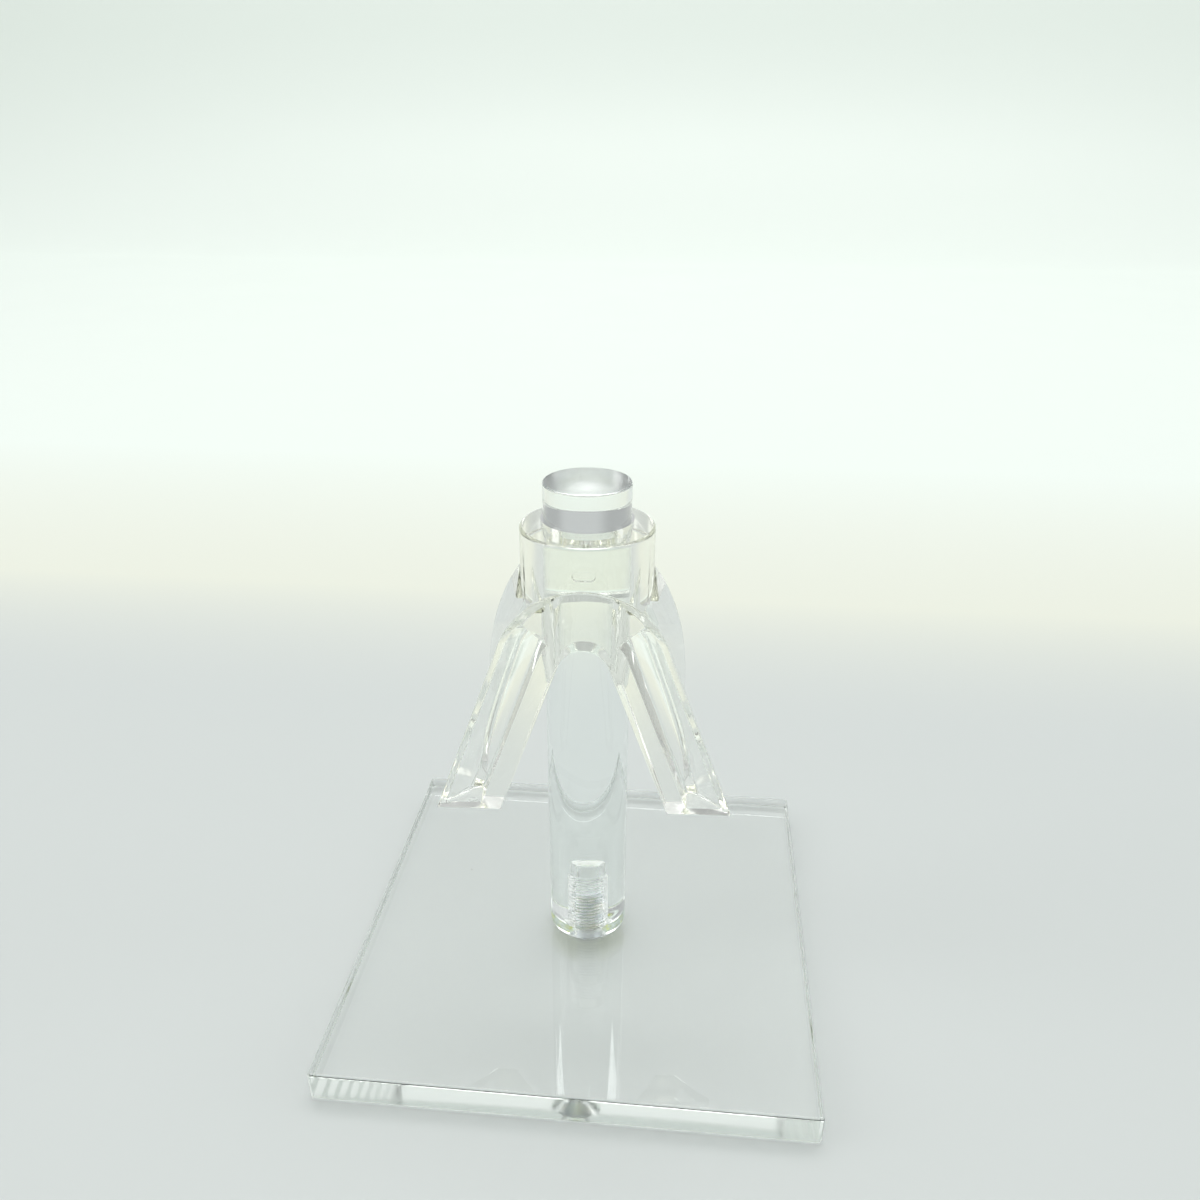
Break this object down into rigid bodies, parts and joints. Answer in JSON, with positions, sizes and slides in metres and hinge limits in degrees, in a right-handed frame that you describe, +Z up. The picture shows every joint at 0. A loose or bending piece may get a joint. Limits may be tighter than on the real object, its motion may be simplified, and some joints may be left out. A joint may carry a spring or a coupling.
{
  "type": "eyeglasses display stand",
  "caption": "Clear acrylic stand: square plate, round post screwed on from below, and a nose-shaped saddle that slides and turns on the post to hold glasses by the bridge.",
  "frame": {"origin": "centre of the underside of the square base plate, on the post's axis", "axes": "+Z up along the post; -Y is the front, the side the saddle faces and the glasses hang on; +X to the right seen from the front"},
  "size_m": [0.075, 0.075, 0.085],
  "materials": {
    "plate_acrylic": "clear cast acrylic sheet, polished faces and edges",
    "rod_acrylic": "clear acrylic rod, polished round the side, finely sawn and sanded top",
    "zinc_steel": "bright zinc plated steel",
    "moulded_clear": "clear injection moulded plastic, glossy, very slightly warm in thick places"
  },
  "bodies": {
    "base": {"base_plate": "plate_acrylic"},
    "pillar": {"post": "rod_acrylic", "base_screw": "zinc_steel"},
    "nose": {"nose_piece": "moulded_clear"}
  },
  "joints": [
    {"name": "post_swivel", "type": "hinge", "parent": "base", "child": "pillar", "pos_m": [0, 0, 0.005], "axis": [0, 0, 1], "continuous": true},
    {"name": "nose_slide", "type": "slide", "parent": "pillar", "child": "nose", "axis": [0, 0, 1], "range_m": [-0.031, 0.0065]}
  ]
}
